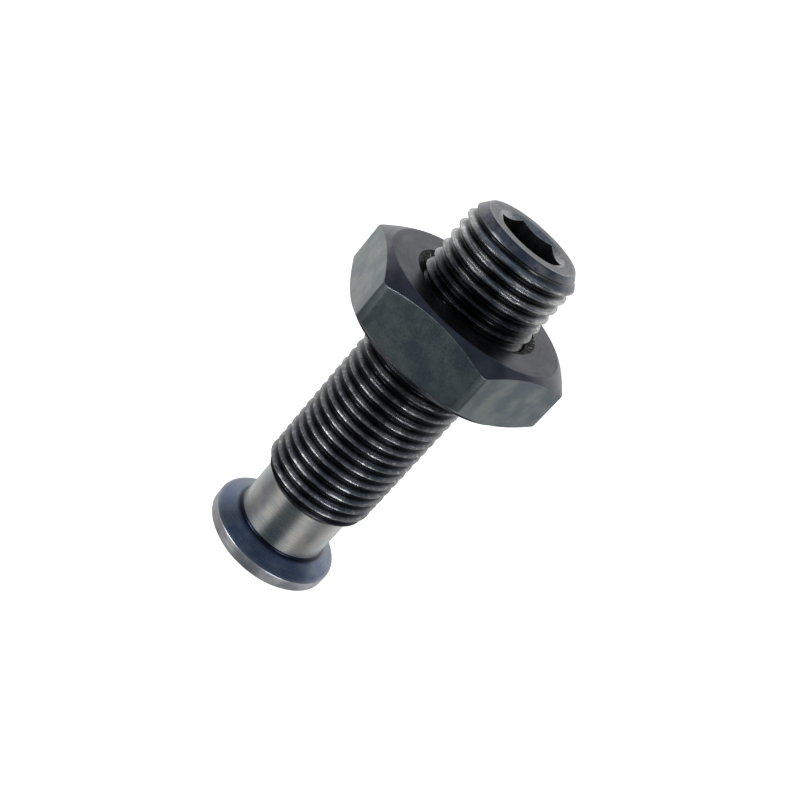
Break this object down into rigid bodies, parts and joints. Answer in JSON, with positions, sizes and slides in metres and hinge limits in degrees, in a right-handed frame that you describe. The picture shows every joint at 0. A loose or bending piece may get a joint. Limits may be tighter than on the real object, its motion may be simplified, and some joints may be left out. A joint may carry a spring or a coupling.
{
  "type": "tool holder height screw",
  "caption": "Height-adjusting screw with a hooked round foot and a thin hexagon lock nut, for a quick change tool post's holder.",
  "frame": {"origin": "middle of the foot's underside", "axes": "+Z along the screw towards the key socket, +X through two corners of the socket"},
  "size_m": [0.0196, 0.0178, 0.0355],
  "materials": {
    "screw_steel": "black oxide, with the neck left bright",
    "nut_steel": "black oxide, satin"
  },
  "bodies": {
    "screw": {"adjusting_screw": "screw_steel"},
    "nut_carrier": {"nut_bearing_face": "nut_steel"},
    "nut": {"lock_nut": "nut_steel"}
  },
  "joints": [
    {"name": "nut_travel", "type": "slide", "parent": "screw", "child": "nut_carrier", "axis": [0, 0, 1], "range_m": [-0.0157, 0.00545]},
    {"name": "nut_turn", "type": "hinge", "parent": "nut_carrier", "child": "nut", "pos_m": [0, 0, 0.02345], "axis": [0, 0, 1], "range_deg": [-5670, 1980]}
  ],
  "couplings": [
    {"joint": "nut_turn", "follows": "nut_travel", "rad_per_m": 6283.2}
  ]
}
